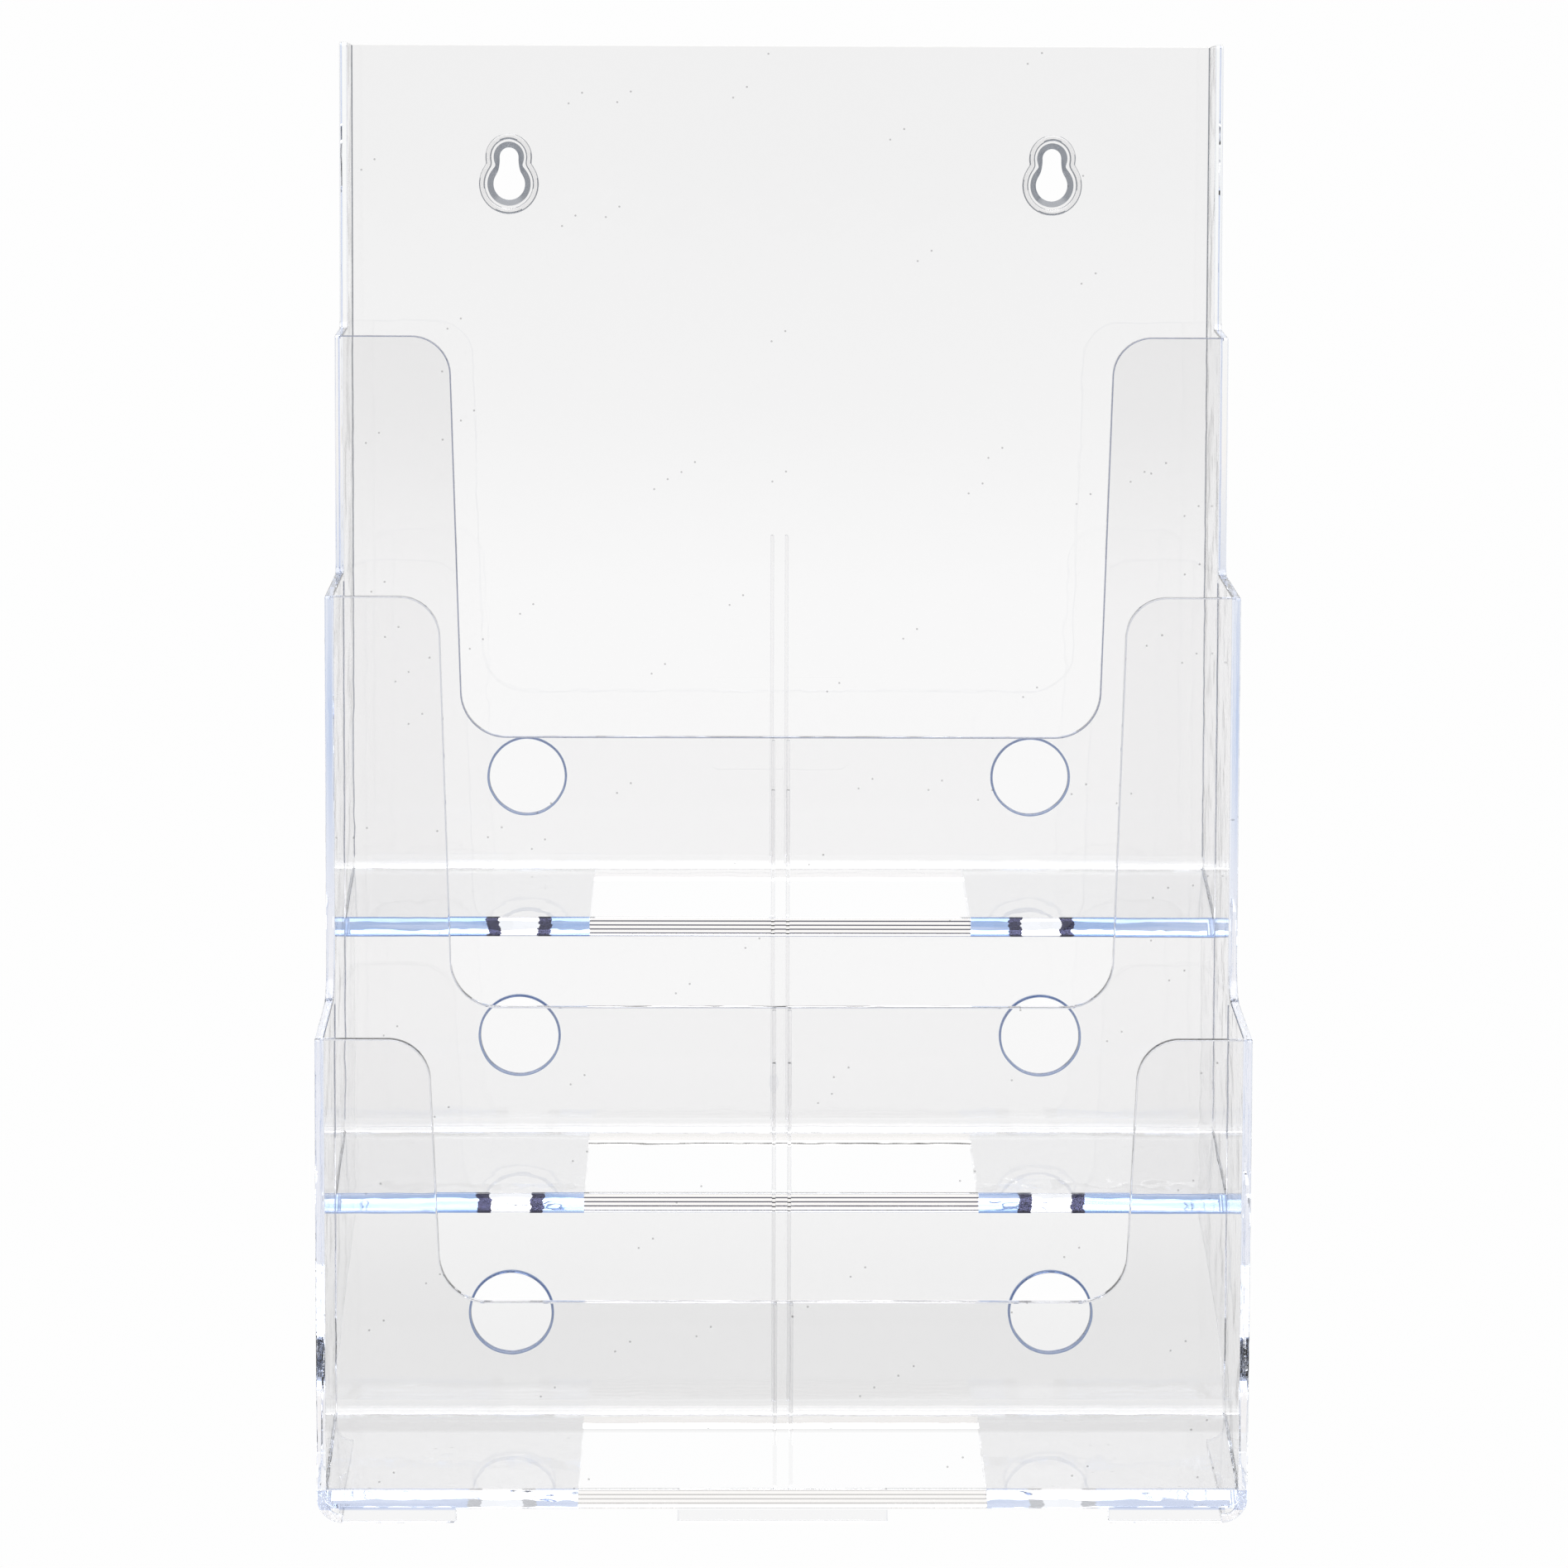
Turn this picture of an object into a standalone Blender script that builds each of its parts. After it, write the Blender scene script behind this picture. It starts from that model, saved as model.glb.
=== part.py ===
"""Brochure rack: three clear pockets stepped down and forward, for a wall.

Frame: metres, +Z up, front towards -Y, origin at the middle of the footprint.
Depths are counted forwards from the front face of the back panel, and heights up
from the feet. The sides narrow towards the front and widen towards the feet.
"""
import math

import bmesh
import bpy
from mathutils import Matrix

MM = 0.001

# Driving dimensions
HEIGHT = 368 * MM
TIER_STEP = 50 * MM
TIER_DROP = 63.7 * MM
TIERS = 3
WALL = 2.2 * MM
GAP = 0.3 * MM
EDGE_ROUND = 0.35 * MM

FRONT_WIDTH = 231 * MM
SIDE_TAPER = 0.035
SIDE_FLARE = 0.0076
FLANGE_TOP_DEPTH = 23 * MM
FLANGE_FOOT_DEPTH = 25 * MM

LOW_FLOOR_Z = 14.1 * MM
FLOOR_SLOPE = 0.14
FLOOR_REAR_THICKNESS = 3.1 * MM
FLOOR_FRONT_THICKNESS = 4.3 * MM
FLOOR_REAR_LAND = 4 * MM
FLOOR_FRONT_LAND = 1.6 * MM
FLOOR_OPENING_WIDTH = 102.4 * MM
REAR_COVE = 2.5 * MM
SIDE_COVE = 1.5 * MM
COVE_LIP = 0.4 * MM

EAR_HEIGHT = 149.8 * MM
LOW_EAR_HEIGHT = 109.3 * MM
STEP_RISE = -1.1 * MM
NOTCH_HEIGHT = 42.8 * MM
NOTCH_TOP_HALF = 87.5 * MM
NOTCH_FOOT_HALF = 84.8 * MM
NOTCH_TOP_ROUND = 10.5 * MM
NOTCH_FOOT_ROUND = 12 * MM

HOLE_RADIUS = 10.4 * MM
HOLE_SPACING = 140.2 * MM
HOLE_HEIGHT = 25.7 * MM

KEYHOLE_SPACING = 148.4 * MM
KEYHOLE_LOW_Z = 330.4 * MM
KEYHOLE_UP_Z = 337.7 * MM
KEYHOLE_RADII = (4.4 * MM, 2.6 * MM)
KEYHOLE_NECK = 2.5 * MM
RIM_INNER_RADII = (6.6 * MM, 4.9 * MM)
RIM_INNER_NECK = 4.6 * MM
RIM_OUTER_RADII = (8.3 * MM, 6.3 * MM)
RIM_OUTER_NECK = 5.9 * MM
RIM_HEIGHT = 1.3 * MM

LABEL_WIDTH = 38 * MM
LABEL_HEIGHT = 25.8 * MM
LABEL_Z = 181.8 * MM
LABEL_ROUND = 2.3 * MM
LABEL_DEPTH = 0.25 * MM

RIB_WIDTH = 1.0 * MM
RIB_DEPTH = 1.6 * MM
RIB_OFFSET = 2.0 * MM
REAR_RIB_TOP = 93 * MM
FRONT_RIB_BELOW_NOTCH = 1.2 * MM

FOOT_HEIGHT = 3.7 * MM
FOOT_CORNER_INNER = 81.6 * MM
FOOT_CENTRE_HALF = 26.3 * MM
FOOT_LOW_ROUND = 0.5 * MM
FOOT_UP_ROUND = 1.2 * MM
CORNER_ROUND = 6.5 * MM
ROLL_OVERLAP = 0.8 * MM

SIDE_FOOT_REAR = 95 * MM
SIDE_REAR_Z = 41.3 * MM
SIDE_REAR_CURVE = ((60 * MM, 32.5 * MM, 22 * MM), (86 * MM, 24 * MM, 12 * MM))
SIDE_TOP_REAR_ROUND = 0.5 * MM
SIDE_TOP_FRONT_ROUND = 1.5 * MM
SIDE_LOW_REAR_ROUND = 1 * MM
STEP_FILLETS = {1: 2.5 * MM, 2: 2.5 * MM, 3: 9 * MM}
EAR_CORNER_ROUND = 1.2 * MM
PANEL_EDGE_ROUND = 0.1 * MM

PANEL_TINT = (0.93, 0.95, 0.98)
WALL_TINT = (0.91, 0.94, 0.98)
SIDE_TINT = (0.86, 0.91, 0.98)
FLOOR_TINT = (0.87, 0.91, 0.97)
RIB_TINT = (0.86, 0.9, 0.96)
RIM_TINT = (0.75, 0.82, 0.95)
FOOT_TINT = (0.9, 0.93, 0.97)

FULL_DEPTH = TIERS * TIER_STEP + WALL
MIDDLE_DEPTH = FULL_DEPTH / 2 - WALL

JOIN = 1 * MM
COVE_END_INSET = 0.5 * MM
CUT_REACH = 20 * MM
ARC_STEP = math.radians(9)
HOLE_SIDES = 48


def floor_z(tier):
    """Height of a pocket's floor at the rear edge of its opening."""
    return LOW_FLOOR_Z + (TIERS - tier) * TIER_DROP


def ear_z(tier):
    """Height of the top of a front wall's ears."""
    rise = LOW_EAR_HEIGHT if tier == TIERS else EAR_HEIGHT
    return floor_z(tier) + rise


def half_width(depth, height):
    """Half the outer width of the rack at a depth and height."""
    at_front = FRONT_WIDTH / 2 - SIDE_TAPER * (depth - TIERS * TIER_STEP)
    return at_front + SIDE_FLARE * (ear_z(TIERS) - height)


def inner_half(depth, height):
    """Half the width between the side panels, less the joint gap."""
    return half_width(depth, height) - WALL - GAP


def floor_top(tier, depth):
    """Height of the sloping floor of a pocket at a depth."""
    rear_edge = (tier - 1) * TIER_STEP + FLOOR_REAR_LAND
    return floor_z(tier) - FLOOR_SLOPE * (depth - rear_edge)


# Outlines


def arc(centre, radius, start, end):
    """Points of an arc, ends included. Angles run anticlockwise from +x."""
    steps = max(2, round(abs(end - start) / ARC_STEP))
    angles = [start + (end - start) * i / steps for i in range(steps + 1)]
    return [(centre[0] + radius * math.cos(a), centre[1] + radius * math.sin(a)) for a in angles]


def rounded(corners):
    """Closed outline through (x, y, radius) corners, each rounded to its radius."""
    points = []
    count = len(corners)
    for i, (x, y, radius) in enumerate(corners):
        if radius == 0:
            points.append((x, y))
            continue
        before = corners[i - 1]
        after = corners[(i + 1) % count]
        a = math.atan2(before[1] - y, before[0] - x)
        b = math.atan2(after[1] - y, after[0] - x)
        turn = (b - a + math.pi) % (2 * math.pi) - math.pi
        reach = radius / math.tan(abs(turn) / 2)
        centre_reach = radius / math.sin(abs(turn) / 2)
        middle = a + turn / 2
        centre = (x + centre_reach * math.cos(middle), y + centre_reach * math.sin(middle))
        first = (x + reach * math.cos(a), y + reach * math.sin(a))
        start = math.atan2(first[1] - centre[1], first[0] - centre[0])
        sweep = math.pi - abs(turn)
        end = start - sweep if turn > 0 else start + sweep
        points += arc(centre, radius, start, end)
    return points


def two_lobes(x, radii, neck):
    """Keyhole outline: a wide lower lobe and a narrow upper one, joined at a neck."""
    low, up = radii
    low_angle = math.asin(neck / low)
    up_angle = math.asin(neck / up)
    top = math.pi / 2
    lower = arc((x, KEYHOLE_LOW_Z), low, top + low_angle, top + 2 * math.pi - low_angle)
    upper = arc((x, KEYHOLE_UP_Z), up, top - math.pi + up_angle, top + math.pi - up_angle)
    return lower + upper


def circle(x, y, radius):
    angles = [2 * math.pi * i / HOLE_SIDES for i in range(HOLE_SIDES)]
    return [(x + radius * math.cos(a), y + radius * math.sin(a)) for a in angles]


def notched_wall_outline(tier, bottom, bottom_round):
    """Front wall seen from the front: two ears with a U notch between them."""
    depth = tier * TIER_STEP
    top = ear_z(tier)
    notch = floor_z(tier) + NOTCH_HEIGHT
    at_top = inner_half(depth, top)
    at_foot = inner_half(depth, bottom)
    right = [
        (at_foot, bottom, bottom_round),
        (at_top, top, EDGE_ROUND),
        (NOTCH_TOP_HALF, top, NOTCH_TOP_ROUND),
        (NOTCH_FOOT_HALF, notch, NOTCH_FOOT_ROUND),
    ]
    left = [(-x, z, r) for x, z, r in reversed(right)]
    return rounded(right + left)


def side_outline():
    """Side panel seen from the side, as (depth, height), from the top rear corner."""
    corners = [
        (-WALL, HEIGHT, SIDE_TOP_REAR_ROUND),
        (-WALL, SIDE_REAR_Z, SIDE_LOW_REAR_ROUND),
        *SIDE_REAR_CURVE,
        (SIDE_FOOT_REAR, CORNER_ROUND, 0),
        (TIERS * TIER_STEP, CORNER_ROUND, 0),
    ]
    for tier in range(TIERS, 0, -1):
        front = tier * TIER_STEP
        rear = front - TIER_STEP if tier > 1 else FLANGE_FOOT_DEPTH
        corners.append((front, ear_z(tier), EAR_CORNER_ROUND))
        corners.append((rear, ear_z(tier) - STEP_RISE, STEP_FILLETS[tier]))
    corners.append((FLANGE_TOP_DEPTH, HEIGHT, SIDE_TOP_FRONT_ROUND))
    return rounded(corners)


# Modelling helpers


def new_collection(name):
    made = bpy.data.collections.new(name)
    bpy.context.scene.collection.children.link(made)
    return made


def clear_plastic(name, tint):
    """Clear plastic with a faint cool tint, its own material for each piece."""
    material = bpy.data.materials.new(name)
    material.use_nodes = True
    shader = material.node_tree.nodes["Principled BSDF"]
    shader.inputs["Base Color"].default_value = (*tint, 1)
    shader.inputs["Roughness"].default_value = 0.06
    shader.inputs["Metallic"].default_value = 0.0
    shader.inputs["IOR"].default_value = 1.57
    shader.inputs["Alpha"].default_value = 0.35
    return material


def flat_piece(name, outlines, thickness):
    """A flat sheet cut to its outlines, in the local xy plane, centred on z."""
    curve = bpy.data.curves.new(name + "_outline", "CURVE")
    curve.dimensions = "2D"
    curve.fill_mode = "BOTH"
    curve.extrude = thickness / 2
    for outline in outlines:
        spline = curve.splines.new("POLY")
        spline.points.add(len(outline) - 1)
        for point, (x, y) in zip(spline.points, outline):
            point.co = (x, y, 0, 1)
        spline.use_cyclic_u = True
    drawn = bpy.data.objects.new(name + "_outline", curve)
    bpy.context.scene.collection.objects.link(drawn)
    bpy.context.view_layer.update()
    evaluated = drawn.evaluated_get(bpy.context.evaluated_depsgraph_get())
    mesh = bpy.data.meshes.new_from_object(evaluated)
    mesh.name = name
    bpy.data.objects.remove(drawn)
    bpy.data.curves.remove(curve)
    work = bmesh.new()
    work.from_mesh(mesh)
    bmesh.ops.remove_doubles(work, verts=work.verts, dist=1e-6)
    bmesh.ops.recalc_face_normals(work, faces=work.faces)
    work.to_mesh(mesh)
    work.free()
    made = bpy.data.objects.new(name, mesh)
    PARTS.objects.link(made)
    return made


def facing_front(depth_of_face, thickness):
    """Placement of a sheet whose outline is (x, height), its front face at a depth."""
    middle = MIDDLE_DEPTH - depth_of_face + thickness / 2
    return Matrix(((1, 0, 0, 0), (0, 0, -1, middle), (0, 1, 0, 0), (0, 0, 0, 1)))


def facing_side():
    """Placement of a sheet whose outline is (depth, height), centred on x = 0."""
    return Matrix(((0, 0, -1, 0), (-1, 0, 0, MIDDLE_DEPTH), (0, 1, 0, 0), (0, 0, 0, 1)))


def place(piece, matrix):
    piece.data.transform(matrix)
    piece.data.update()
    return piece


def reshape(piece, rule):
    """Moves each point of a mesh by rule(x, depth, height) -> the same three."""
    for vertex in piece.data.vertices:
        x, y, z = vertex.co
        x, depth, z = rule(x, MIDDLE_DEPTH - y, z)
        vertex.co = (x, MIDDLE_DEPTH - depth, z)
    piece.data.update()
    return piece


def round_edges(piece, width=EDGE_ROUND):
    bevel = piece.modifiers.new("rounded_edges", "BEVEL")
    bevel.width = width
    bevel.segments = 1
    bevel.limit_method = "ANGLE"
    bevel.angle_limit = math.radians(50)
    return piece


def combine(piece, tool, operation):
    """Cuts with, or joins, another object and takes that object away."""
    boolean = piece.modifiers.new(operation.lower(), "BOOLEAN")
    boolean.operation = operation
    boolean.object = tool
    bpy.context.view_layer.update()
    evaluated = piece.evaluated_get(bpy.context.evaluated_depsgraph_get())
    result = bpy.data.meshes.new_from_object(evaluated)
    result.name = piece.name
    piece.modifiers.clear()
    piece.data = result
    bpy.data.objects.remove(tool)
    return piece


def block(name, low, high):
    """A box between two corners given as (x, depth, height)."""
    mesh = bpy.data.meshes.new(name)
    work = bmesh.new()
    bmesh.ops.create_cube(work, size=1)
    work.to_mesh(mesh)
    work.free()
    made = bpy.data.objects.new(name, mesh)
    PARTS.objects.link(made)
    size = [b - a for a, b in zip(low, high)]
    centre = [(a + b) / 2 for a, b in zip(low, high)]
    scale = Matrix.Diagonal((*size, 1))
    move = Matrix.Translation((centre[0], MIDDLE_DEPTH - centre[1], centre[2]))
    return place(made, move @ scale)


def finish_piece(piece, tint):
    piece.data.materials.clear()
    piece.data.materials.append(clear_plastic(piece.name + "_plastic", tint))
    piece.data.shade_smooth()
    piece.data.set_sharp_from_angle(angle=math.radians(35))
    return piece


# The rack's pieces


def make_back_panel():
    """Rear wall of the top pocket, with keyholes, round holes and a label recess."""
    bottom = floor_top(1, 0) + GAP
    top_half = inner_half(0, HEIGHT)
    foot_half = inner_half(0, bottom)
    border = rounded([
        (foot_half, bottom, 0),
        (top_half, HEIGHT, EDGE_ROUND),
        (-top_half, HEIGHT, EDGE_ROUND),
        (-foot_half, bottom, 0),
    ])
    holes = [circle(side * HOLE_SPACING / 2, floor_z(1) + HOLE_HEIGHT, HOLE_RADIUS) for side in (-1, 1)]
    slots = [two_lobes(side * KEYHOLE_SPACING / 2, KEYHOLE_RADII, KEYHOLE_NECK) for side in (-1, 1)]
    panel = flat_piece("back_panel", [border] + holes + slots, WALL)
    place(panel, facing_front(0, WALL))
    half = LABEL_WIDTH / 2
    low = LABEL_Z - LABEL_HEIGHT / 2
    high = LABEL_Z + LABEL_HEIGHT / 2
    recess = rounded([(half, low, LABEL_ROUND), (half, high, LABEL_ROUND),
                      (-half, high, LABEL_ROUND), (-half, low, LABEL_ROUND)])
    cutter = flat_piece("label_recess", [recess], 2 * LABEL_DEPTH)
    place(cutter, facing_front(LABEL_DEPTH - WALL, 2 * LABEL_DEPTH))
    combine(panel, cutter, "DIFFERENCE")
    return finish_piece(round_edges(panel, PANEL_EDGE_ROUND), PANEL_TINT)


def make_front_wall(tier):
    """Front wall of a pocket, going on down as the rear wall of the next pocket."""
    depth = tier * TIER_STEP
    lowest = tier == TIERS
    bottom = FOOT_HEIGHT + GAP if lowest else floor_top(tier + 1, depth) + GAP
    bottom_round = CORNER_ROUND - WALL - GAP if lowest else 0
    outlines = [notched_wall_outline(tier, bottom, bottom_round)]
    if not lowest:
        height = floor_z(tier + 1) + HOLE_HEIGHT
        outlines += [circle(side * HOLE_SPACING / 2, height, HOLE_RADIUS) for side in (-1, 1)]
    wall = flat_piece(f"front_wall_{tier}", outlines, WALL)
    place(wall, facing_front(depth, WALL))
    return finish_piece(round_edges(wall), WALL_TINT)


def make_side_panel(name, side):
    """Stepped side sheet with a rolled bottom edge beside the lowest pocket."""
    panel = flat_piece(name, [side_outline()], WALL)
    place(panel, facing_side())
    reshape(panel, lambda x, depth, z: (x - WALL / 2, depth, z))
    roll_length = TIERS * TIER_STEP - SIDE_FOOT_REAR
    turn = -math.pi / 2
    outer = arc((-CORNER_ROUND, CORNER_ROUND), CORNER_ROUND, turn, 0)
    inner = arc((-CORNER_ROUND, CORNER_ROUND), CORNER_ROUND - WALL, 0, turn)
    top = CORNER_ROUND + ROLL_OVERLAP
    ring = outer + [(0, top), (-WALL, top)] + inner
    roll = flat_piece(name + "_roll", [ring], roll_length)
    place(roll, facing_front(TIERS * TIER_STEP, roll_length))
    combine(panel, roll, "UNION")
    reshape(panel, lambda x, depth, z: (side * (half_width(depth, z) + x), depth, z))
    if side < 0:
        panel.data.flip_normals()
    return finish_piece(panel, SIDE_TINT)


def tray_outline(half, thickness, low_round):
    """Floor seen from the front: flat, with small coves up to the sides."""
    cove = arc((half - SIDE_COVE, SIDE_COVE), SIDE_COVE - COVE_LIP, -math.pi / 2, 0)
    cove = [(x, z - COVE_LIP * (1 - (z / SIDE_COVE))) for x, z in cove]
    lower = [(half, -thickness)]
    if low_round:
        lower = arc((half - low_round, low_round - thickness), low_round, 0, -math.pi / 2)
    right = cove + [(half, SIDE_COVE)] + lower
    left = [(-x, z) for x, z in reversed(right)]
    return right + left


def make_floor(tier):
    """Sloping floor of a pocket, with its coves and rectangular opening.

    The lowest floor's lower corners are round, to lie in the side panels' rolled edges.
    """
    name = f"floor_{tier}"
    rear = (tier - 1) * TIER_STEP - WALL
    wall_face = (tier - 1) * TIER_STEP
    front = tier * TIER_STEP - WALL - GAP
    half = inner_half(front, floor_z(tier))
    cove_rear = wall_face + GAP
    low_round = CORNER_ROUND - WALL - GAP if tier == TIERS else 0
    outline = tray_outline(half, FLOOR_REAR_THICKNESS, low_round)
    slab = flat_piece(name, [outline], front - cove_rear)
    place(slab, facing_front(front, front - cove_rear))
    low_rear = (-half, rear, -FLOOR_REAR_THICKNESS)
    tongue = block(name + "_tongue", low_rear, (half, cove_rear + JOIN, 0))
    combine(slab, tongue, "UNION")
    cove_front = cove_rear + COVE_LIP + REAR_COVE
    profile = [(cove_rear, -JOIN), (cove_front, -JOIN), (cove_front, 0)]
    profile += arc((cove_front, REAR_COVE), REAR_COVE, -math.pi / 2, -math.pi)[1:]
    profile += [(cove_rear, REAR_COVE)]
    strip = flat_piece(name + "_cove", [profile], 2 * (half - COVE_END_INSET))
    place(strip, facing_side())
    combine(slab, strip, "UNION")
    opening_rear = wall_face + FLOOR_REAR_LAND
    opening_front = front - FLOOR_FRONT_LAND
    opening = block(
        name + "_opening",
        (-FLOOR_OPENING_WIDTH / 2, opening_rear, -CUT_REACH),
        (FLOOR_OPENING_WIDTH / 2, opening_front, CUT_REACH),
    )
    combine(slab, opening, "DIFFERENCE")

    def sloped(x, depth, z):
        if abs(x) > FLOOR_OPENING_WIDTH:
            x += math.copysign(inner_half(depth, floor_z(tier)) - half, x)
        share = (depth - rear) / (front - rear)
        thickness = FLOOR_REAR_THICKNESS + share * (FLOOR_FRONT_THICKNESS - FLOOR_REAR_THICKNESS)
        stretch = thickness / FLOOR_REAR_THICKNESS if z < 0 else 1
        return x, depth, floor_top(tier, max(depth, wall_face)) + z * stretch

    reshape(slab, sloped)
    return finish_piece(slab, FLOOR_TINT)


def make_rib(name, x, face, outward, bottom, top):
    """One divider guide rib standing on a wall face, towards the pocket's middle."""
    near = face + outward * GAP
    far = near + outward * RIB_DEPTH
    low = (x - RIB_WIDTH / 2, min(near, far), bottom)
    high = (x + RIB_WIDTH / 2, max(near, far), top)
    return finish_piece(block(name, low, high), RIB_TINT)


def make_ribs(tier):
    """Guide ribs in one pocket: a pair on its rear wall and a pair on its front wall."""
    rear_face = (tier - 1) * TIER_STEP
    front_face = tier * TIER_STEP - WALL
    rear_bottom = floor_top(tier, rear_face) + REAR_COVE + GAP
    front_bottom = floor_top(tier, front_face - GAP - RIB_DEPTH) + GAP
    front_top = floor_z(tier) + NOTCH_HEIGHT - FRONT_RIB_BELOW_NOTCH
    for word, side in (("left", -1), ("right", 1)):
        x = side * RIB_OFFSET
        make_rib(f"rear_rib_{tier}_{word}", x, rear_face, 1, rear_bottom, floor_z(tier) + REAR_RIB_TOP)
        make_rib(f"front_rib_{tier}_{word}", x, front_face, -1, front_bottom, front_top)


def make_keyhole_rim(name, side):
    """Raised double-lobed rim round a keyhole."""
    x = side * KEYHOLE_SPACING / 2
    outer = two_lobes(x, RIM_OUTER_RADII, RIM_OUTER_NECK)
    inner = two_lobes(x, RIM_INNER_RADII, RIM_INNER_NECK)
    rim = flat_piece(name, [outer, inner], RIM_HEIGHT)
    place(rim, facing_front(GAP + RIM_HEIGHT, RIM_HEIGHT))
    return finish_piece(rim, RIM_TINT)


def make_foot(name, left, right):
    """Short skirt under the lowest front wall that the rack's front edge stands on."""
    front = TIERS * TIER_STEP
    outline = rounded([(right, 0, FOOT_LOW_ROUND), (right, FOOT_HEIGHT, FOOT_UP_ROUND),
                       (left, FOOT_HEIGHT, FOOT_UP_ROUND), (left, 0, FOOT_LOW_ROUND)])
    foot = flat_piece(name, [outline], WALL)
    place(foot, facing_front(front, WALL))
    return finish_piece(round_edges(foot), FOOT_TINT)


def make_rack():
    make_back_panel()
    make_side_panel("side_panel_left", -1)
    make_side_panel("side_panel_right", 1)
    for tier in range(1, TIERS + 1):
        make_front_wall(tier)
        make_floor(tier)
        make_ribs(tier)
    make_keyhole_rim("keyhole_rim_left", -1)
    make_keyhole_rim("keyhole_rim_right", 1)
    outer = half_width(TIERS * TIER_STEP, 0) - CORNER_ROUND - GAP
    make_foot("foot_left", -outer, -FOOT_CORNER_INNER)
    make_foot("foot_centre", -FOOT_CENTRE_HALF, FOOT_CENTRE_HALF)
    make_foot("foot_right", FOOT_CORNER_INNER, outer)


for existing in list(bpy.data.objects):
    bpy.data.objects.remove(existing)
PARTS = new_collection("brochure_rack")
make_rack()
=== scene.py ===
"""Looks of the brochure rack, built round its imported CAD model.

Metres, +Z up, front towards -Y. Depths are counted forwards from the front face of the
back panel. The rack is one clear shell with its guide ribs and keyhole beads on it.
"""
import math

import bmesh
import bpy
from mathutils import Matrix, Quaternion, Vector


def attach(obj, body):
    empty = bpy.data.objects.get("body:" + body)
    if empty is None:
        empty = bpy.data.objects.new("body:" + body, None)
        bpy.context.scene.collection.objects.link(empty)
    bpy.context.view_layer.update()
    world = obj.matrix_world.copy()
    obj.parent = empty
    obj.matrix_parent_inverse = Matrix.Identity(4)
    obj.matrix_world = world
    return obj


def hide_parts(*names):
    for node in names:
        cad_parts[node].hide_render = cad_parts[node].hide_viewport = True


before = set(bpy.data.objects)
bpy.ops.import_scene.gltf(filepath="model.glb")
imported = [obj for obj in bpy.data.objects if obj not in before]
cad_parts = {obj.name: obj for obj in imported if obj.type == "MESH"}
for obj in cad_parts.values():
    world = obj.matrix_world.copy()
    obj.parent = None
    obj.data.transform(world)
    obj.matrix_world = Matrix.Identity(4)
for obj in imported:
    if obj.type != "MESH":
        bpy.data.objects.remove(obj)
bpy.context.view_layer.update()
MM = 0.001

# The rack's sizes, in the frame of the CAD model
HEIGHT = 368 * MM
TIER_STEP = 50 * MM
TIER_DROP = 63.7 * MM
TIERS = 3
WALL = 2.2 * MM
SINK = 1.0 * MM
FLUSH = 0.017 * MM
EDGE_ROUND = 0.35 * MM
HOLE_ROUND = 0.65 * MM
EDGE_SEGMENTS = 3
RIB_ROUND = 0.15 * MM
RIB_SEGMENTS = 2
BEVEL_ANGLE = math.radians(50)
WELD = 1e-6
CUT_TOLERANCE = 1e-7
JOINT = 0.03 * MM

FRONT_WIDTH = 231 * MM
SIDE_TAPER = 0.035
SIDE_FLARE = 0.0076
FLANGE_TOP_DEPTH = 23 * MM
FLANGE_FOOT_DEPTH = 25 * MM

LOW_FLOOR_Z = 14.1 * MM
FLOOR_SLOPE = 0.14
FLOOR_REAR_THICKNESS = 3.1 * MM
FLOOR_FRONT_THICKNESS = 4.3 * MM
FLOOR_REAR_LAND = 4 * MM
FLOOR_FRONT_LAND = 1.6 * MM
FLOOR_OPENING_WIDTH = 102.4 * MM
REAR_COVE = 2.9 * MM
SIDE_COVE = 0.5 * MM
CORNER_FILLET = 0.18 * MM

EAR_HEIGHT = 149.8 * MM
LOW_EAR_HEIGHT = 109.3 * MM
STEP_RISE = -1.1 * MM
NOTCH_HEIGHTS = (43.4 * MM, 43.7 * MM, 42.8 * MM)
NOTCH_TOP_HALF = 87.5 * MM
NOTCH_FOOT_HALF = 84.8 * MM
NOTCH_TOP_ROUND = 10.5 * MM
NOTCH_FOOT_ROUND = 12 * MM

HOLE_RADIUS = 10.4 * MM
HOLE_SPACING = 140.2 * MM
HOLE_HEIGHTS = (25.5 * MM, 25.9 * MM, 26.5 * MM)

KEYHOLE_SPACING = 148.4 * MM
KEYHOLE_LOW_Z = 330.4 * MM
KEYHOLE_UP_Z = 337.7 * MM
KEYHOLE_RADII = (4.4 * MM, 2.6 * MM)
KEYHOLE_NECK = 2.5 * MM

LABEL_WIDTH = 38 * MM
LABEL_HEIGHT = 25.8 * MM
LABEL_Z = 181.8 * MM
LABEL_ROUND = 2.3 * MM
LABEL_DEPTH = 0.25 * MM

RIB_WIDTH = 1.0 * MM
RIB_DEPTH = 1.9 * MM
RIB_OFFSET = 2.0 * MM
REAR_RIB_TOP = 93 * MM
FRONT_RIB_BELOW_NOTCH = 1.2 * MM

FOOT_HEIGHT = 3.7 * MM
FOOT_CORNER_INNER = 81.6 * MM
FOOT_CENTRE_HALF = 26.3 * MM
CORNER_ROUND = 6.5 * MM
SIDE_FOOT_REAR = 95 * MM
SIDE_REAR_Z = 41.3 * MM
SIDE_TOP_ROUND = 0.5 * MM
SIDE_REAR_ROUND = 1 * MM
SIDE_FOOT_RISE = 1 * MM
SIDE_FOOT_ROUND = 3 * MM
SIDE_UNDERSIDE = ((60 * MM, 32.5 * MM, 22 * MM), (86 * MM, 24 * MM, 12 * MM))
STEP_FILLETS = (2.5 * MM, 2.5 * MM, 9 * MM)
FLANGE_ROUND = 1.5 * MM

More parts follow.
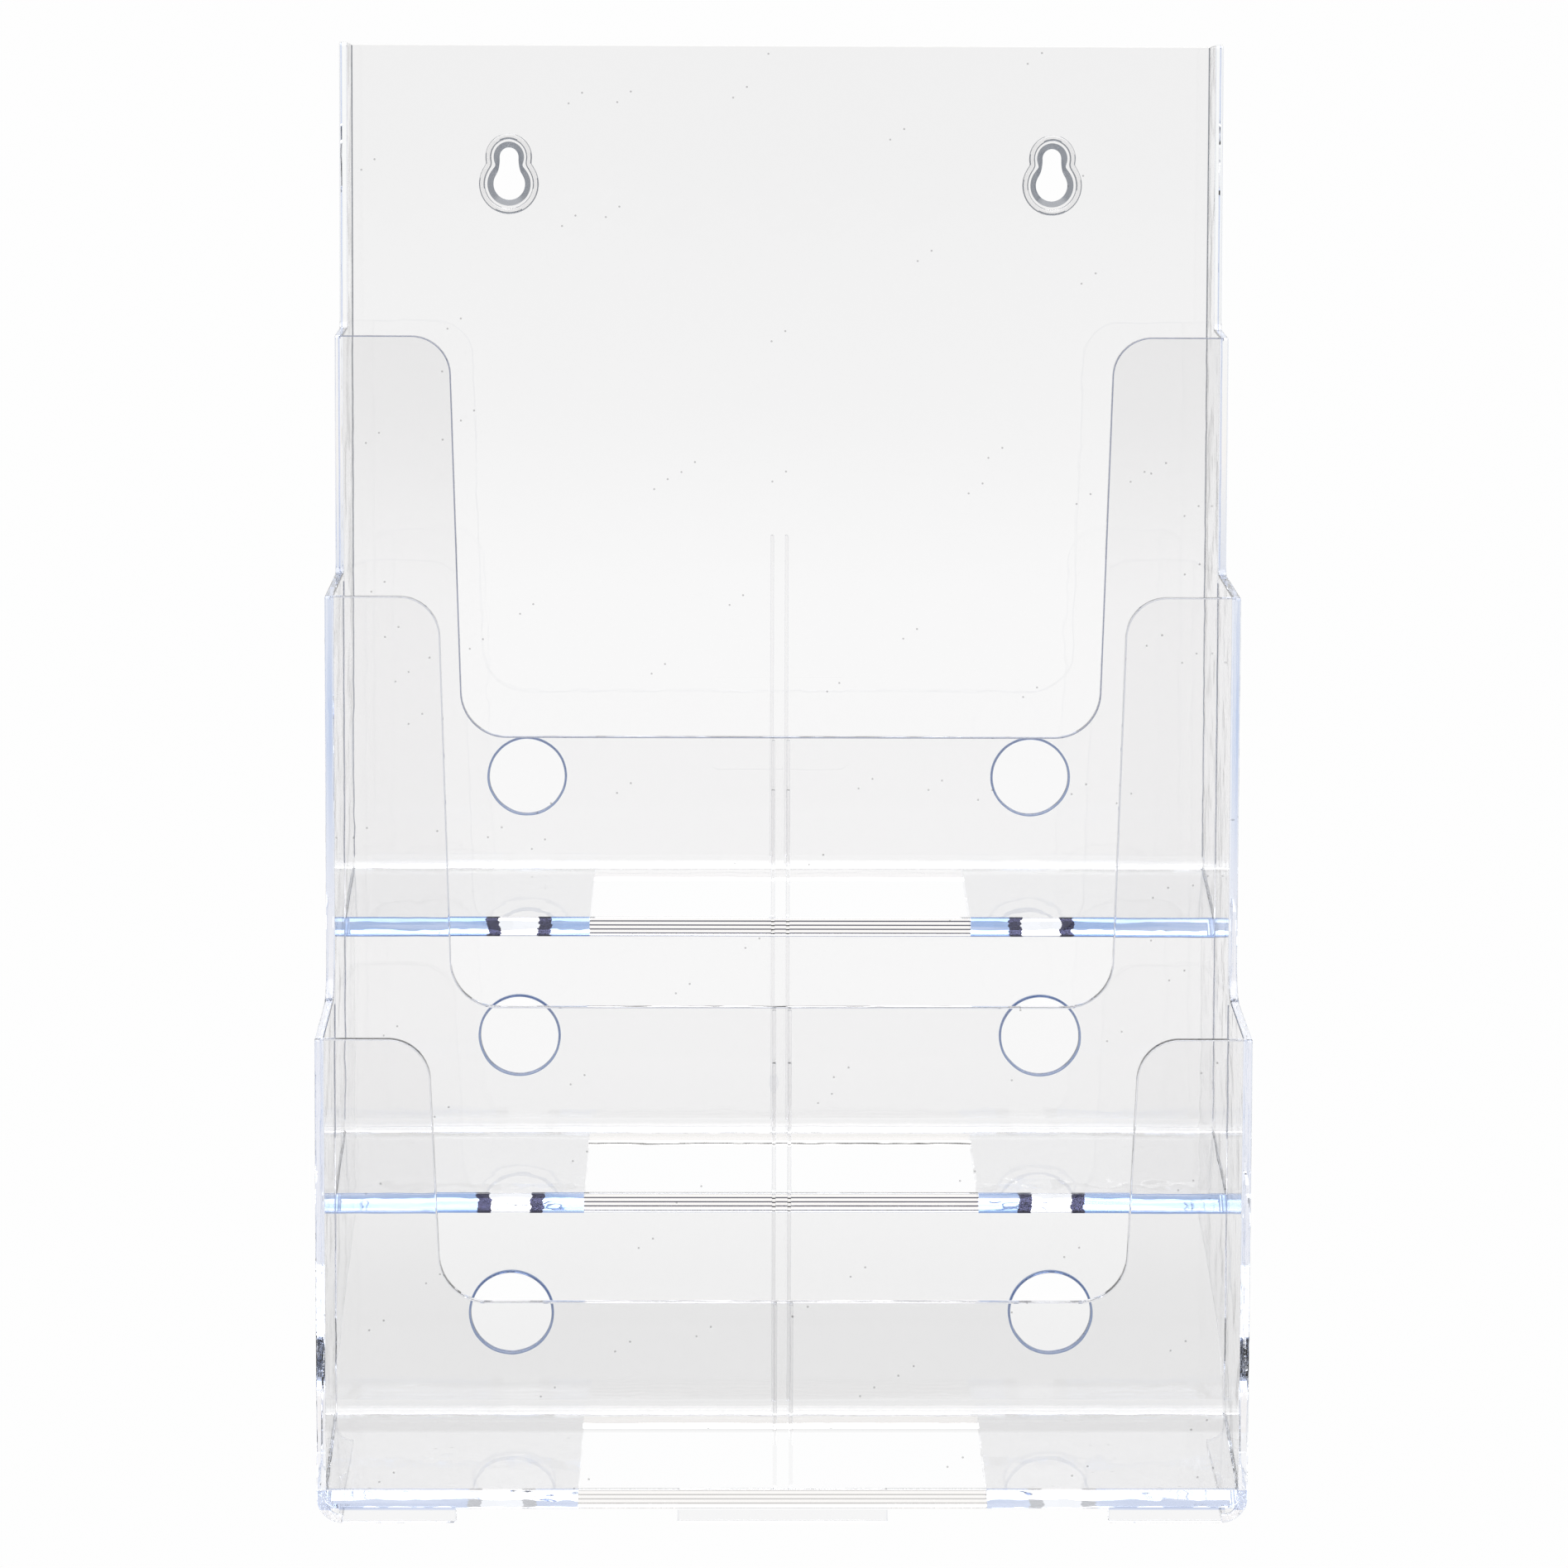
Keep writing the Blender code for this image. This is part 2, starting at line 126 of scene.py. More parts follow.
EAR_CORNER_ROUND = 1.2 * MM
FOOT_ROUND = 0.5 * MM
FLOOR_FILLET = 0.6 * MM
CUT_REACH = 20 * MM

KEYHOLE_LAND = 1.2 * MM
KEYHOLE_FLARE = 1.6 * MM
KEYHOLE_NECK_GROWTH = 0.6
KEYHOLE_SIDES = 48
SOFTEN_ROUNDS = 6
BEAD_RADII = (7.45 * MM, 5.6 * MM)
BEAD_NECK = 5.2 * MM
BEAD_WIDTH = 1.6 * MM
BEAD_HEIGHT = 1.6 * MM
BEAD_STEPS = 10
BEAD_SHADE_BELOW = 0.75
BEAD_SHADE_TURN = 0.35

GATE_PLACE = (-1.6 * MM, 91 * MM)
GATE_HALF = (1.3 * MM, 2.6 * MM)
GATE_HEIGHT = 0.2 * MM
GATE_TOP_SCALE = 0.8
GATE_SIDES = 48

SPECK_CELLS = 26.0
SPECK_SIZE = 0.006
SPECK_SOFTNESS = 1.4
SPECK_SKEW = (1.7, 1.3)
SPECK_SHADE = 0.35
# Painted reflection and shade on the front walls where the floors' edges lie behind them
LINE_HEIGHT = 5.1 * MM
LINE_RISE = 0.15 * MM
CLEAR_HEIGHT = 15.5 * MM
LINE_DEEP = (0.14, 0.26, 0.6)
LINE_PALE = (0.3, 0.42, 0.75)
LINE_DARK = (0.002, 0.002, 0.008)
STREAK_SCALE = (30, 30, 900)
STREAK_DETAIL = 3.0
STREAK_EDGES = (0.42, 0.62)
PATCH_PLACE = 6.8 * MM
PATCH_HALF = 1.7 * MM
PATCH_SHIFT = 3 * MM
LOW_LINE_PALER = 0.35
STRIPE_EDGES = (-0.8, -0.3)
STRIPE_PITCH = 1.1 * MM
WAVE_SCALE = 70.0
WAVE_DETAIL = 2.0
WAVE_STRENGTH = 0.15
WAVE_HEIGHT = 0.0004
ABSORPTION_COLOR = (0.5, 0.66, 1.0)
ABSORPTION_DENSITY = 2.2
PLASTIC_IOR = 1.57
SMOOTH_BELOW = math.radians(20)

CAMERA_PLACE = (-12.06 * MM, -1124.1 * MM, 341.9 * MM)
PITCH = math.radians(8.406)
YAW = math.radians(0.646)
ROLL = math.radians(0.187)
LENS = 99.7
SENSOR = 36
CLIP = (0.01, 100)

BACKDROP_LIGHT = 0.99
ROOM_LIGHT = 0.8
ROOM_EDGE = (-0.7, -0.1)
OVERHEAD_LIGHT = 2.5
OVERHEAD_EDGE = (0.6, 0.85)
HIGH_EDGE = (0.06, 0.3)
FLOOR_HALF = 20
FLOOR_DROP = 0.5 * MM
FAR_FADE = (-4.2, -0.7)
FAR_LIGHT = 0.85
CLEAR_BOUNCES = 32
GLOSSY_BOUNCES = 24

FULL_DEPTH = TIERS * TIER_STEP + WALL
MIDDLE_DEPTH = FULL_DEPTH / 2 - WALL
ROLL_LENGTH = (CORNER_ROUND - WALL / 2) * math.pi / 2
ROLL_STEPS = 18
ARC_STEP = math.radians(5)
HOLE_SIDES = 96


# Finishes of a face, kept as its material slot until the piece is dressed; their colours are mostly painted
# shade
SHEET, FLOOR_FACE, COVE, SOFT_EDGE, ROUND_EDGE, CUT_EDGE, HOLE_RIM, DARK_FLANK = range(8)
SMOOTH_FINISHES = (COVE, SOFT_EDGE, ROUND_EDGE, HOLE_RIM)
FINISH_MATCH = 0.01
CLEAR = (1, 1, 1, 1)
# The clear cove aside, these colours are painted shade: greys on sheets, floors, soft edges and cut edges,
# and dark blue to near black lines on round edges, hole rims and flanks, standing for dark surroundings seen
# in rounded edges
FINISH_AND_SHADE_COLORS = [
    (0.965, 0.962, 0.962),
    (0.84, 0.837, 0.84),
    (1.0, 1.0, 1.0),
    (0.8, 0.81, 0.84),
    (0.12, 0.14, 0.22),
    (0.88, 0.88, 0.89),
    (0.05, 0.09, 0.24),
    (0.08, 0.09, 0.11),
]
# Painted shade by height in metres, except for the outlines: the sheets are painted greyest at top and foot,
# standing for the darker surroundings they reflect
SHEET_SHADE_TINTS = [
    (0.005, (0.93, 0.928, 0.93)),
    (0.009, (0.885, 0.883, 0.883)),
    (0.05, (0.885, 0.883, 0.883)),
    (0.075, (0.925, 0.923, 0.923)),
    (0.11, (0.945, 0.942, 0.942)),
    (0.22, (0.955, 0.952, 0.952)),
    (0.27, (0.92, 0.917, 0.917)),
    (0.34, (0.9, 0.897, 0.897)),
]
# The side panels' cut edges carry painted shade by height, bluest and darkest beside the middle pocket; the
# warmer stops offset the plastic's own blue edge tint
EDGE_SHADE_TINTS = [
    (0.13, (1.0, 0.96, 0.92)),
    (0.19, (0.58, 0.66, 0.82)),
    (0.26, (1.0, 0.96, 0.9)),
    (0.31, (1.0, 1.0, 0.98)),
]
# Painted shade on the front walls' outlines, by place along Y: dark lines standing for dark surroundings
# seen in the rounded edges, fading from the top tier to the lowest
OUTLINE_SHADE_TINTS = [
    (-75 * MM, (0.72, 0.73, 0.78)),
    (-25 * MM, (0.5, 0.52, 0.6)),
    (25 * MM, (0.12, 0.14, 0.22)),
]
# Painted shade on the corner lines, darkening upwards to nearly black on the keyhole beads
FLANK_SHADE_TINTS = [
    (0.02, (0.6, 0.63, 0.7)),
    (0.07, (0.34, 0.37, 0.45)),
    (0.1, (0.16, 0.18, 0.24)),
    (0.3, (0.08, 0.09, 0.11)),
]


# Places on the rack


def floor_z(tier):
    return LOW_FLOOR_Z + (TIERS - tier) * TIER_DROP


def ear_z(tier):
    rise = LOW_EAR_HEIGHT if tier == TIERS else EAR_HEIGHT
    return floor_z(tier) + rise


def half_width(depth, height):
    at_front = FRONT_WIDTH / 2 - SIDE_TAPER * (depth - TIERS * TIER_STEP)
    return at_front + SIDE_FLARE * (ear_z(TIERS) - height)


def inner_half(depth, height):
    return half_width(depth, height) - WALL


def floor_top(tier, depth):
    rear_edge = (tier - 1) * TIER_STEP + FLOOR_REAR_LAND
    return floor_z(tier) - FLOOR_SLOPE * (depth - rear_edge)


# Outlines


def arc(centre, radius, start, end):
    steps = max(2, round(abs(end - start) / ARC_STEP))
    angles = [start + (end - start) * i / steps for i in range(steps + 1)]
    return [(centre[0] + radius * math.cos(a), centre[1] + radius * math.sin(a)) for a in angles]


def rounded(corners):
    points = []
    count = len(corners)
    for i, (x, y, radius) in enumerate(corners):
        if radius == 0:
            points.append((x, y))
            continue
        before = corners[i - 1]
        after = corners[(i + 1) % count]
        a = math.atan2(before[1] - y, before[0] - x)
        b = math.atan2(after[1] - y, after[0] - x)
        turn = (b - a + math.pi) % (2 * math.pi) - math.pi
        reach = radius / math.tan(abs(turn) / 2)
        centre_reach = radius / math.sin(abs(turn) / 2)
        middle = a + turn / 2
        centre = (x + centre_reach * math.cos(middle), y + centre_reach * math.sin(middle))
        first = (x + reach * math.cos(a), y + reach * math.sin(a))
        start = math.atan2(first[1] - centre[1], first[0] - centre[0])
        sweep = math.pi - abs(turn)
        end = start - sweep if turn > 0 else start + sweep
        points += arc(centre, radius, start, end)
    return points


def two_lobes(x, radii, neck, sides):
    """Keyhole outline: a wide lower lobe and a narrow upper one, joined at a neck."""
    low, up = radii
    low_angle = math.asin(neck / low)
    up_angle = math.asin(neck / up)
    points = []
    lobes = ((KEYHOLE_LOW_Z, low, math.pi / 2, low_angle), (KEYHOLE_UP_Z, up, -math.pi / 2, up_angle))
    for height, radius, start, skip in lobes:
        for i in range(sides + 1):
            angle = start + skip + (2 * math.pi - 2 * skip) * i / sides
            points.append((x + radius * math.cos(angle), height + radius * math.sin(angle)))
    return points


def soften(ring):
    """Rounds the corners of a closed outline, a little at a time."""
    for _ in range(SOFTEN_ROUNDS):
        after = ring[1:] + ring[:1]
        before = ring[-1:] + ring[:-1]
        near = zip(before, ring, after)
        ring = [((a[0] + 2 * b[0] + c[0]) / 4, (a[1] + 2 * b[1] + c[1]) / 4) for a, b, c in near]
    return ring


def circle(x, y, radius):
    angles = [2 * math.pi * i / HOLE_SIDES for i in range(HOLE_SIDES)]
    return [(x + radius * math.cos(a), y + radius * math.sin(a)) for a in angles]


# Modelling helpers


def new_piece(work, slot=None):
    """Makes an object from a working mesh, its faces in the slots of their finishes."""
    if slot is not None:
        for face in work.faces:
            face.material_index = slot
    bmesh.ops.recalc_face_normals(work, faces=work.faces)
    if work.calc_volume(signed=True) < 0:
        bmesh.ops.reverse_faces(work, faces=work.faces)
    mesh = bpy.data.meshes.new("piece")
    work.to_mesh(mesh)
    work.free()
    for finish_and_shade in FINISHES:
        mesh.materials.append(finish_and_shade)
    made = bpy.data.objects.new("piece", mesh)
    bpy.context.scene.collection.objects.link(made)
    return made


def flat_piece(outlines, thickness, rim=CUT_EDGE, sheet=SHEET):
    """Sheet cut to its outlines in the local xy plane, centred on z."""
    curve = bpy.data.curves.new("outline", "CURVE")
    curve.dimensions = "2D"
    curve.fill_mode = "BOTH"
    curve.extrude = thickness / 2
    for outline in outlines:
        spline = curve.splines.new("POLY")
        spline.points.add(len(outline) - 1)
        for point, (x, y) in zip(spline.points, outline):
            point.co = (x, y, 0, 1)
        spline.use_cyclic_u = True
    drawn = bpy.data.objects.new("outline", curve)
    bpy.context.scene.collection.objects.link(drawn)
    bpy.context.view_layer.update()
    evaluated = drawn.evaluated_get(bpy.context.evaluated_depsgraph_get())
    work = bmesh.new()
    work.from_mesh(bpy.data.meshes.new_from_object(evaluated))
    bpy.data.objects.remove(drawn)
    bpy.data.curves.remove(curve)
    bmesh.ops.remove_doubles(work, verts=work.verts, dist=WELD)
    work.normal_update()
    for face in work.faces:
        face.material_index = sheet if abs(face.normal.z) > 0.5 else rim
    return new_piece(work)


def facing_front(depth_of_face, thickness):
    middle = MIDDLE_DEPTH - depth_of_face + thickness / 2
    return Matrix(((1, 0, 0, 0), (0, 0, -1, middle), (0, 1, 0, 0), (0, 0, 0, 1)))


def facing_side():
    return Matrix(((0, 0, -1, 0), (-1, 0, 0, MIDDLE_DEPTH), (0, 1, 0, 0), (0, 0, 0, 1)))


def place(piece, matrix):
    piece.data.transform(matrix)
    if matrix.determinant() < 0:
        piece.data.flip_normals()
    piece.data.update()
    return piece


def reshape(piece, rule):
    for vertex in piece.data.vertices:
        x, y, z = vertex.co
        x, depth, z = rule(x, MIDDLE_DEPTH - y, z)
        vertex.co = (x, MIDDLE_DEPTH - depth, z)
    piece.data.update()
    return piece


def bake(piece):
    """Makes the modifiers' result the piece's own mesh."""
    bpy.context.view_layer.update()
    evaluated = piece.evaluated_get(bpy.context.evaluated_depsgraph_get())
    result = bpy.data.meshes.new_from_object(evaluated)
    piece.modifiers.clear()
    work = bmesh.new()
    work.from_mesh(result)
    bmesh.ops.triangulate(work, faces=work.faces)
    work.to_mesh(result)
    work.free()
    piece.data = result
    return piece


def round_edges(piece, finish_and_shade, width=EDGE_ROUND, segments=EDGE_SEGMENTS):
    bevel = piece.modifiers.new("rounded_edges", "BEVEL")
    bevel.width = width
    bevel.segments = segments
    bevel.use_clamp_overlap = False
    bevel.loop_slide = False
    bevel.limit_method = "ANGLE"
    bevel.angle_limit = BEVEL_ANGLE
    bevel.material = finish_and_shade
    return bake(piece)


def combine(piece, tools, operation):
    """Joins other solids to a piece, or cuts them out of it, and takes them away."""
    group = bpy.data.collections.new("tools")
    bpy.context.scene.collection.children.link(group)
    for tool in tools:
        group.objects.link(tool)
    boolean = piece.modifiers.new("boolean", "BOOLEAN")
    boolean.operation = operation
    boolean.solver = "MANIFOLD"
    boolean.operand_type = "COLLECTION"
    boolean.collection = group
    bake(piece)
    for tool in tools:
        bpy.data.objects.remove(tool)
    bpy.data.collections.remove(group)
    return piece


def block(low, high, slot=CUT_EDGE):
    """A box between two corners given as (x, depth, height)."""
    work = bmesh.new()
    bmesh.ops.create_cube(work, size=1)
    size = [b - a for a, b in zip(low, high)]
    centre = [(a + b) / 2 for a, b in zip(low, high)]
    move = Matrix.Translation((centre[0], MIDDLE_DEPTH - centre[1], centre[2]))
    work.transform(move @ Matrix.Diagonal((*size, 1)))
    return new_piece(work, slot)


def loft(loops, closed, slot):
    """Solid through rings of points; ends are capped unless the rings close on themselves."""
    work = bmesh.new()
    rings = [[work.verts.new(point) for point in loop] for loop in loops]
    count = len(rings[0])
    pairs = zip(rings, rings[1:] + rings[:1]) if closed else zip(rings, rings[1:])
    for here, there in pairs:
        for i in range(count):
            k = (i + 1) % count
            work.faces.new((here[i], here[k], there[k], there[i]))
    if not closed:
        work.faces.new(rings[0])
        work.faces.new(rings[-1])
    return new_piece(work, slot)


# The shell's parts


def notched_wall_outline(tier, bottom, bottom_round):
    depth = tier * TIER_STEP
    top = ear_z(tier)
    notch = floor_z(tier) + NOTCH_HEIGHTS[tier - 1]
    at_top = inner_half(depth, top) + SINK
    at_foot = inner_half(depth, bottom) + SINK
    right = [
        (at_foot, bottom, bottom_round),
        (at_top, top, 0),
        (NOTCH_TOP_HALF, top, NOTCH_TOP_ROUND),
        (NOTCH_FOOT_HALF, notch, NOTCH_FOOT_ROUND),
    ]
    left = [(-x, z, r) for x, z, r in reversed(right)]
    return rounded(right + left)


def side_outline():
    corners = [
        (-WALL, HEIGHT, SIDE_TOP_ROUND),
        (-WALL, SIDE_REAR_Z, SIDE_REAR_ROUND),
        *SIDE_UNDERSIDE,
        (SIDE_FOOT_REAR, CORNER_ROUND + SIDE_FOOT_RISE, SIDE_FOOT_ROUND),
        (SIDE_FOOT_REAR, CORNER_ROUND - ROLL_LENGTH, 0),
        (TIERS * TIER_STEP, CORNER_ROUND - ROLL_LENGTH, 0),
    ]
    for tier in range(TIERS, 0, -1):
        front = tier * TIER_STEP
        rear = front - TIER_STEP if tier > 1 else FLANGE_FOOT_DEPTH
        corners.append((front, ear_z(tier), EAR_CORNER_ROUND))
        corners.append((rear, ear_z(tier) - STEP_RISE, STEP_FILLETS[tier - 1]))
    corners.append((FLANGE_TOP_DEPTH, HEIGHT, FLANGE_ROUND))
    return rounded(corners)


def keyhole_cutter(side):
    """Keyhole that opens out towards the front face, its walls painted with the dark flank colour as painted
    shade.
    """
    x = side * KEYHOLE_SPACING / 2
    low, up = KEYHOLE_RADII
    rings = []
    for grow, depth in ((0, -2 * WALL), (0, -KEYHOLE_LAND), (KEYHOLE_FLARE, 0), (KEYHOLE_FLARE, WALL)):
        neck = KEYHOLE_NECK + grow * KEYHOLE_NECK_GROWTH
        ring = soften(two_lobes(x, (low + grow, up + grow), neck, KEYHOLE_SIDES))
        rings.append([(a, MIDDLE_DEPTH - depth, b) for a, b in ring])
    return loft(rings, False, DARK_FLANK)


def hole_cutter(side, height, front):
    """Round hole with rounded rims, through the sheet whose front face is at a depth; the rims are painted
    dark blue as painted shade.
    """
    turns = [math.pi / 2 * i / EDGE_SEGMENTS for i in range(EDGE_SEGMENTS + 1)]
    rim = [(HOLE_ROUND * (1 - math.sin(a)), HOLE_ROUND * (1 - math.cos(a))) for a in turns]
    profile = [(HOLE_ROUND, -WALL)] + rim
    profile += [(grow, WALL - inside) for grow, inside in reversed(profile)]
    rings = []
    for grow, inside in profile:
        ring = circle(side * HOLE_SPACING / 2, height, HOLE_RADIUS + grow)
        rings.append([(a, MIDDLE_DEPTH - front + inside, b) for a, b in ring])
    return loft(rings, False, HOLE_RIM)


def make_back_panel():
    bottom = floor_top(1, 0) - SINK
    top_half = inner_half(0, HEIGHT) + SINK
    foot_half = inner_half(0, bottom) + SINK
    border = [(foot_half, bottom), (top_half, HEIGHT), (-top_half, HEIGHT), (-foot_half, bottom)]
    panel = round_edges(place(flat_piece([border], WALL), facing_front(0, WALL)), CUT_EDGE)
    half = LABEL_WIDTH / 2
    low = LABEL_Z - LABEL_HEIGHT / 2
    high = LABEL_Z + LABEL_HEIGHT / 2
    recess = rounded([(half, low, LABEL_ROUND), (half, high, LABEL_ROUND),
                      (-half, high, LABEL_ROUND), (-half, low, LABEL_ROUND)])
    # The recess's walls take the dark round-edge colour, a painted shade line
    label = flat_piece([recess], 2 * LABEL_DEPTH, ROUND_EDGE)
    place(label, facing_front(LABEL_DEPTH - WALL, 2 * LABEL_DEPTH))
    tools = [label]
    for side in (-1, 1):
        tools += [keyhole_cutter(side), hole_cutter(side, floor_z(1) + HOLE_HEIGHTS[0], 0)]
    return combine(panel, tools, "DIFFERENCE")


def make_front_wall(tier):
    depth = tier * TIER_STEP
    lowest = tier == TIERS
    bottom = FOOT_HEIGHT if lowest else floor_top(tier + 1, depth) - SINK
    bottom_round = CORNER_ROUND - WALL if lowest else 0
    outline = notched_wall_outline(tier, bottom, bottom_round)
    sheet = place(flat_piece([outline], WALL), facing_front(depth - FLUSH, WALL))
    # The rounded outline takes the dark outline colour, a painted shade line
    wall = round_edges(sheet, ROUND_EDGE)
    if lowest:
        return wall
    height = floor_z(tier + 1) + HOLE_HEIGHTS[tier]
    tools = [hole_cutter(side, height, depth - FLUSH) for side in (-1, 1)]
    return combine(wall, tools, "DIFFERENCE")


def make_side_panel(side):
    """Stepped sheet whose bottom edge is rolled inwards beside the lowest pocket."""
    panel = flat_piece([side_outline()], WALL)
    place(panel, facing_side())
    reshape(panel, lambda x, depth, z: (x - WALL / 2, depth, z))
    # The rounded edges take the soft edge grey, painted shade
    round_edges(panel, SOFT_EDGE)
    work = bmesh.new()
    work.from_mesh(panel.data)
    for i in range(ROLL_STEPS):
        height = CORNER_ROUND - ROLL_LENGTH * i / ROLL_STEPS
        everything = work.verts[:] + work.edges[:] + work.faces[:]
        bmesh.ops.bisect_plane(work, geom=everything, dist=CUT_TOLERANCE,
                               plane_co=(0, 0, height), plane_no=(0, 0, 1))
    work.to_mesh(panel.data)
    work.free()

    def rolled(x, depth, z):
        turn = max(0, CORNER_ROUND - z) / (CORNER_ROUND - WALL / 2)
        reach = CORNER_ROUND + x
        if turn:
            z = CORNER_ROUND - reach * math.sin(turn)
            x = reach * math.cos(turn) - CORNER_ROUND
        return side * (half_width(depth, z) + x), depth, z

    reshape(panel, rolled)
    if side < 0:
        panel.data.flip_normals()
    return panel


def tray_outline(half, thickness):
    """Floor seen from the front, with small coves up to the side panels it is sunk into."""
    cove = arc((half - SIDE_COVE, SIDE_COVE), SIDE_COVE, -math.pi / 2, 0)
    out = half + SINK
    right = cove + [(out, SIDE_COVE), (out, -thickness)]
    left = [(-x, z) for x, z in reversed(right)]
    return right + left


def rear_cove(tier, half):
    """Cove where a floor turns up into the wall behind it, before the floor is sloped."""
    face = (tier - 1) * TIER_STEP
    profile = [(face - SINK, -SINK), (face + REAR_COVE, -SINK)]
    profile += arc((face + REAR_COVE, REAR_COVE), REAR_COVE, -math.pi / 2, -math.pi)
    profile += [(face - SINK, REAR_COVE)]
    return place(flat_piece([profile], 2 * half + SINK, COVE), facing_side())


def make_floor(tier):
    """Sloping floor with its coves and opening, reaching under the wall behind it."""
    face = (tier - 1) * TIER_STEP
    rear = face - WALL
    front = tier * TIER_STEP - WALL + SINK
    half = inner_half(front, floor_z(tier))
    outline = tray_outline(half, FLOOR_REAR_THICKNESS)
    # The floor's top, underside and side coves take the floor grey, painted shade
    slab = flat_piece([outline], front - face, FLOOR_FACE)
    place(slab, facing_front(front, front - face))
    low_corner = (-half - SINK, rear, -FLOOR_REAR_THICKNESS)
    tongue = block(low_corner, (half + SINK, face + SINK, 0), COVE)
    combine(slab, [tongue, rear_cove(tier, half)], "UNION")
    opening = block(
        (-FLOOR_OPENING_WIDTH / 2, face + FLOOR_REAR_LAND, -CUT_REACH),
        (FLOOR_OPENING_WIDTH / 2, front - SINK - FLOOR_FRONT_LAND, CUT_REACH),
        CUT_EDGE,
    )
    combine(slab, [opening], "DIFFERENCE")

    def sloped(x, depth, z):
        if abs(x) > FLOOR_OPENING_WIDTH:
            x += math.copysign(inner_half(depth, floor_z(tier)) - half, x)
        share = (depth - rear) / (front - rear)
        thickness = FLOOR_REAR_THICKNESS + share * (FLOOR_FRONT_THICKNESS - FLOOR_REAR_THICKNESS)
        stretch = thickness / FLOOR_REAR_THICKNESS if z < 0 else 1
        return x, depth, floor_top(tier, max(depth, face)) + z * stretch

    return reshape(slab, sloped)


def fillet_section(radius):
    """Section of a fillet in a corner at the origin, sunk into both faces."""
    sink = SINK / 2
    points = [(-sink, -sink), (radius, -sink)]
    points += arc((radius, radius), radius, -math.pi / 2, -math.pi)
    return points + [(-sink, radius)]


def upright_fillet(side, face, outward, bottom, top):
    """Fillet between a side panel's inner face and the face of a cross wall, painted as a dark corner line,
    a painted shade.
    """
    rings = []
    for z in (bottom, top):
        ring = []
        for across, along in fillet_section(CORNER_FILLET):
            depth = face + outward * along
            ring.append((side * (inner_half(depth, z) - across), MIDDLE_DEPTH - depth, z))
        rings.append(ring)
    return loft(rings, False, DARK_FLANK)


def floor_fillet(tier, above):
    """Fillet where a floor meets the wall in front of it, above the floor or below, painted as a dark line,
    a painted shade.
    """
    face = tier * TIER_STEP - WALL
    half = inner_half(face, floor_z(tier)) + SINK / 2
    level = floor_top(tier, face)
    rings = []
    for x in (-half, half):
        ring = []
        for back, rise in fillet_section(FLOOR_FILLET):
            z = level + rise if above else level - FLOOR_FRONT_THICKNESS - rise
            ring.append((x, MIDDLE_DEPTH - face + back, z + FLOOR_SLOPE * back))
        rings.append(ring)
    return loft(rings, False, ROUND_EDGE)


def make_foot(left, right):
    """Short skirt under the lowest front wall."""
    outline = rounded([(right, 0, FOOT_ROUND), (right, FOOT_HEIGHT + SINK, 0),
                       (left, FOOT_HEIGHT + SINK, 0), (left, 0, FOOT_ROUND)])
    foot = flat_piece([outline], WALL)
    # The rounded edges take the soft edge grey, painted shade
    return round_edges(place(foot, facing_front(TIERS * TIER_STEP, WALL)), SOFT_EDGE)


def gate_mark():
    """Shallow oval left by the moulding on the front of the top pocket's wall."""
    steps = [2 * math.pi * i / GATE_SIDES for i in range(GATE_SIDES)]
    rings = []
    for scale, stand in ((1, -SINK), (1, GATE_HEIGHT / 2), (GATE_TOP_SCALE, GATE_HEIGHT)):
        depth = TIER_STEP + stand
        rings.append([(GATE_PLACE[0] + scale * GATE_HALF[0] * math.cos(a), MIDDLE_DEPTH - depth,
                       GATE_PLACE[1] + scale * GATE_HALF[1] * math.sin(a)) for a in steps])
    return loft(rings, False, SOFT_EDGE)


def shell_parts():
    """Every solid that the shell is joined from."""
    parts = [make_back_panel(), gate_mark()]
    for side in (-1, 1):
        parts.append(make_side_panel(side))
        parts.append(upright_fillet(side, 0, 1, floor_top(1, 0), HEIGHT - EDGE_ROUND))
    for tier in range(1, TIERS + 1):
        face = tier * TIER_STEP
        parts += [make_front_wall(tier), make_floor(tier), floor_fillet(tier, True)]
        if tier < TIERS:
            parts.append(floor_fillet(tier, False))
        for side in (-1, 1):
            top = ear_z(tier) - EDGE_ROUND
            parts.append(upright_fillet(side, face - WALL, -1, floor_top(tier, face), top))
            if tier < TIERS:
                top = ear_z(tier + 1) - EAR_CORNER_ROUND
                parts.append(upright_fillet(side, face, 1, floor_top(tier + 1, face), top))
    outer = half_width(TIERS * TIER_STEP, 0) - CORNER_ROUND + SINK
    parts.append(make_foot(-outer, -FOOT_CORNER_INNER))
    parts.append(make_foot(-FOOT_CENTRE_HALF, FOOT_CENTRE_HALF))
    parts.append(make_foot(FOOT_CORNER_INNER, outer))
    return parts


# The pieces on the shell


def make_rib(x, face, outward, bottom, top):
    """Divider guide rib standing on a wall face, towards the pocket's middle."""
    near = face + outward * JOINT
    far = face + outward * RIB_DEPTH
    low = (x - RIB_WIDTH / 2, min(near, far), bottom)
    high = (x + RIB_WIDTH / 2, max(near, far), top)
    # The rounded edges take the soft edge grey, painted shade
    return round_edges(block(low, high, SHEET), SOFT_EDGE, RIB_ROUND, RIB_SEGMENTS)


